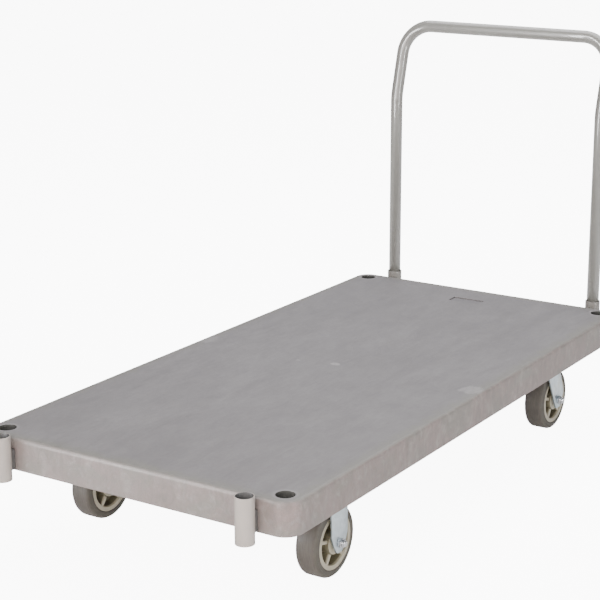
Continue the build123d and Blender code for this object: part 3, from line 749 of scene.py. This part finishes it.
def makeCore(name, axle, shape):
    bm = bmesh.new()
    lathe(bm, wholeSection(shape["halfSection"]), axle, across, upright, shape["steps"])
    bevelSharp(bm, shape["bevel"] * millimetre, 3, 45)
    spokes = bmesh.new()
    inner, outer = shape["spokeInner"], shape["spokeOuter"]
    depth = 2 * shape["spokeHalfDepth"]
    size = Matrix.Diagonal((depth, outer - inner, shape["spokeThickness"], 1))
    shift = Matrix.Translation((0, (outer + inner) / 2 * millimetre, 0))
    for count in range(shape["spokes"]):
        angle = math.radians(shape["spokeStart"]) + math.tau * count / shape["spokes"]
        place = Matrix.Translation(axle) @ Matrix.Rotation(angle, 4, "X")
        bmesh.ops.create_cube(spokes, size=millimetre, matrix=place @ shift @ size)
    bevelSharp(spokes, shape["spokeBevel"] * millimetre, 3)
    holder = bpy.data.meshes.new("spokeHolder")
    spokes.to_mesh(holder)
    spokes.free()
    bm.from_mesh(holder)
    bpy.data.meshes.remove(holder)
    finishPiece(bm, camel(name + "_wheel_core"), name + "_wheel_core", 34)


for wheelName in wheelNames:
    makeTyre(wheelName, axleOf[wheelName], tyreShape)
    makeCore(wheelName, axleOf[wheelName], coreShape)
print("wheels made")


axleHardware = {  # millimetres
    "acrossFlats": 19.0,
    "hexBevel": 0.9,
    "nutHex": 7.4,        # height of the nut's hexagon, below its round collar
    "collarRadius": 8.3,
    "headHeight": 8.0,
    "headWasher": 0.7,    # round face under the bolt's head
    "threadRadius": 6.35,
    "threadPitch": 1.25,
    "threadDepth": 0.75,
    "threadLength": 15.0,
    "threadTurns": 11,
    "tipBevel": 1.2,
}


def makeAxleNut(name, axle, size):
    node = name + "_axle_nut"
    low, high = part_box(node)
    outward = across if axle.x > 0 else -across
    base = Vector((low.x if axle.x > 0 else high.x, axle.y, axle.z))
    height = high.x - low.x
    bm = bmesh.new()
    cornerRadius = size["acrossFlats"] / math.sqrt(3) * millimetre
    prism(bm, 6, cornerRadius, size["nutHex"] * millimetre, base, outward)
    bevelSharp(bm, size["hexBevel"] * millimetre, 3)
    collar = size["collarRadius"] * millimetre
    thread = (size["threadRadius"] + 0.1) * millimetre
    foot = size["nutHex"] * millimetre * 0.8
    outline = ((foot, thread), (foot, collar), (height - 0.0012, collar),
               (height - 0.0004, collar - 0.0005), (height, collar - 0.0014), (height, thread))
    lathe(bm, outline, base, outward, upright, 48)
    finishPiece(bm, camel(node), node, 30)


def makeAxleBolt(name, axle, size):
    node = name + "_axle_bolt"
    low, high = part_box(node)
    outward = across if axle.x > 0 else -across
    length = high.x - low.x
    base = Vector((low.x if axle.x > 0 else high.x, axle.y, axle.z))
    bm = bmesh.new()
    headHeight = size["headHeight"] * millimetre
    washerFace = size["headWasher"] * millimetre
    cornerRadius = size["acrossFlats"] / math.sqrt(3) * millimetre
    prism(bm, 6, cornerRadius, headHeight - washerFace, base, outward)
    bevelSharp(bm, size["hexBevel"] * millimetre, 3)
    shank = size["threadRadius"] * millimetre
    face = size["acrossFlats"] / 2 * millimetre
    pitch = size["threadPitch"] * millimetre
    root = shank - size["threadDepth"] * millimetre
    threadStart = length - size["threadLength"] * millimetre
    outline = [(headHeight / 2, 0.0), (headHeight / 2, face), (headHeight, face),
               (headHeight, shank), (threadStart, shank)]
    for turn in range(size["threadTurns"]):
        outline.append((threadStart + pitch * (turn + 0.5), root))
        outline.append((threadStart + pitch * (turn + 1.0), shank))
    outline += [(length, shank - size["tipBevel"] * millimetre), (length, 0.0)]
    lathe(bm, outline, base, outward, upright, 40, closed=False)
    finishPiece(bm, camel(node), node, 30)


for wheelName in wheelNames:
    makeAxleNut(wheelName, axleOf[wheelName], axleHardware)
    makeAxleBolt(wheelName, axleOf[wheelName], axleHardware)
print("axle hardware made")


edgeRounding = {  # millimetres
    "rigid_fork": 0.8,
    "swivel_fork": 0.8,
    "caster_plate": 0.7,
    "socket_bracket": 1.0,
    "kingpin": 0.8,
    "socket_tube": 0.5,
    "caster_bolts": 0.6,
    "socket_bolts": 0.6,
    "socket_backing_plates": 0.5,
}
for nodeName in nodes:
    for ending, width in edgeRounding.items():
        if nodeName.endswith(ending):
            roundedCopy(nodeName, width * millimetre)
print("steel parts rounded")


cameraSetting = {
    "position": (1.9316, -3.1319, 1.4235),
    "heading": 31.58,   # degrees to the left of +Y
    "downTilt": 15.43,
    "roll": 0.21,
    "lens": 99.92,
    "sideShift": -0.0718,
}
lightSetting = {
    # name: place, aim, size, watts, colour
    "overhead": ((0.0, 1.6, 3.4), (0, 0.7, 0.2), (4.0, 3.6), 190, (0.99, 0.985, 1.0)),
    "frontSoft": ((0.8, -3.6, 1.5), (0.1, -0.7, 0.2), (2.2, 1.8), 110, (1.0, 0.915, 0.878)),
    "rightSoft": ((2.9, -2.7, 1.3), (0.3, -0.9, 0.3), (2.0, 1.8), 44, (1.0, 0.95, 0.91)),
}
stripSetting = {
    # tall narrow lamps that only show as bright lines in glossy paint and metal
    "leftStrip": ((-0.72, -1.85, 1.3), (-0.3, 0.77, 1.3), (0.55, 2.5), 165, (1.0, 1.0, 1.0)),
    "rightStrip": ((3.4, -0.4, 1.2), (0.0, 0.77, 1.2), (0.4, 2.3), 110, (1.0, 1.0, 1.0)),
}
stageSetting = {
    "floor": (0.8, 0.8, 0.8),
    "floorHalf": 40,
    "floorGlow": 0.38,   # what the floor lights the cart with
    "floorSeen": 9.0,    # how bright it looks
    "room": 0.3,
    "backdrop": 9.0,
}


def makeCamera(setting):
    data = bpy.data.cameras.new("viewCamera")
    data.lens = setting["lens"]
    data.sensor_width = 36
    data.shift_x = setting["sideShift"]
    data.clip_start, data.clip_end = 0.05, 100
    cam = bpy.data.objects.new("viewCamera", data)
    tilt = math.radians(90 - setting["downTilt"])
    turn = Euler((tilt, 0, math.radians(setting["heading"])), "XYZ")
    roll = Matrix.Rotation(math.radians(setting["roll"]), 4, "Z")
    cam.matrix_world = Matrix.Translation(setting["position"]) @ turn.to_matrix().to_4x4() @ roll
    bpy.context.scene.collection.objects.link(cam)
    bpy.context.scene.camera = cam


def makeFloor(setting):
    mesh = bpy.data.meshes.new("floor")
    bm = bmesh.new()
    bmesh.ops.create_grid(bm, x_segments=1, y_segments=1, size=setting["floorHalf"])
    bm.to_mesh(mesh)
    bm.free()
    floor = bpy.data.objects.new("floor", mesh)
    bpy.context.scene.collection.objects.link(floor)
    mat, tree, shader = newMaterial("paleFloor")
    shader.inputs["Base Color"].default_value = (*setting["floor"], 1)
    shader.inputs["Roughness"].default_value = 0.9
    shader.inputs["Emission Color"].default_value = (1, 1, 1, 1)
    # the floor looks white to the camera, and lights the cart no more than plain card would
    seen = tree.nodes.new("ShaderNodeLightPath").outputs["Is Camera Ray"]
    glow = calc(tree, "MULTIPLY_ADD", seen, setting["floorSeen"], setting["floorGlow"])
    feed(tree, shader.inputs["Emission Strength"], glow)
    mesh.materials.append(mat)


def makeLights(setting, glossOnly=False):
    for name, (place, aim, size, watts, color) in setting.items():
        data = bpy.data.lights.new(name, "AREA")
        data.shape = "RECTANGLE"
        data.size, data.size_y = size
        data.energy = watts
        data.color = color
        lamp = bpy.data.objects.new(name, data)
        lamp.location = place
        lamp.visible_camera = False
        lamp.visible_diffuse = not glossOnly
        toward = Vector(aim) - Vector(place)
        lamp.rotation_euler = toward.to_track_quat("-Z", "Y").to_euler()
        bpy.context.scene.collection.objects.link(lamp)


def makeWorld(setting):
    world = bpy.data.worlds.new("studio")
    world.use_nodes = True
    tree = world.node_tree
    room = tree.nodes["Background"]
    room.inputs["Color"].default_value = (1, 1, 1, 1)
    seen = tree.nodes.new("ShaderNodeLightPath").outputs["Is Camera Ray"]
    strength = remap(tree, seen, 0, 1, setting["room"], setting["backdrop"])
    feed(tree, room.inputs["Strength"], strength)
    bpy.context.scene.world = world


makeCamera(cameraSetting)
makeFloor(stageSetting)
makeWorld(stageSetting)
makeLights(lightSetting)
makeLights(stripSetting, glossOnly=True)
print("stage ready")
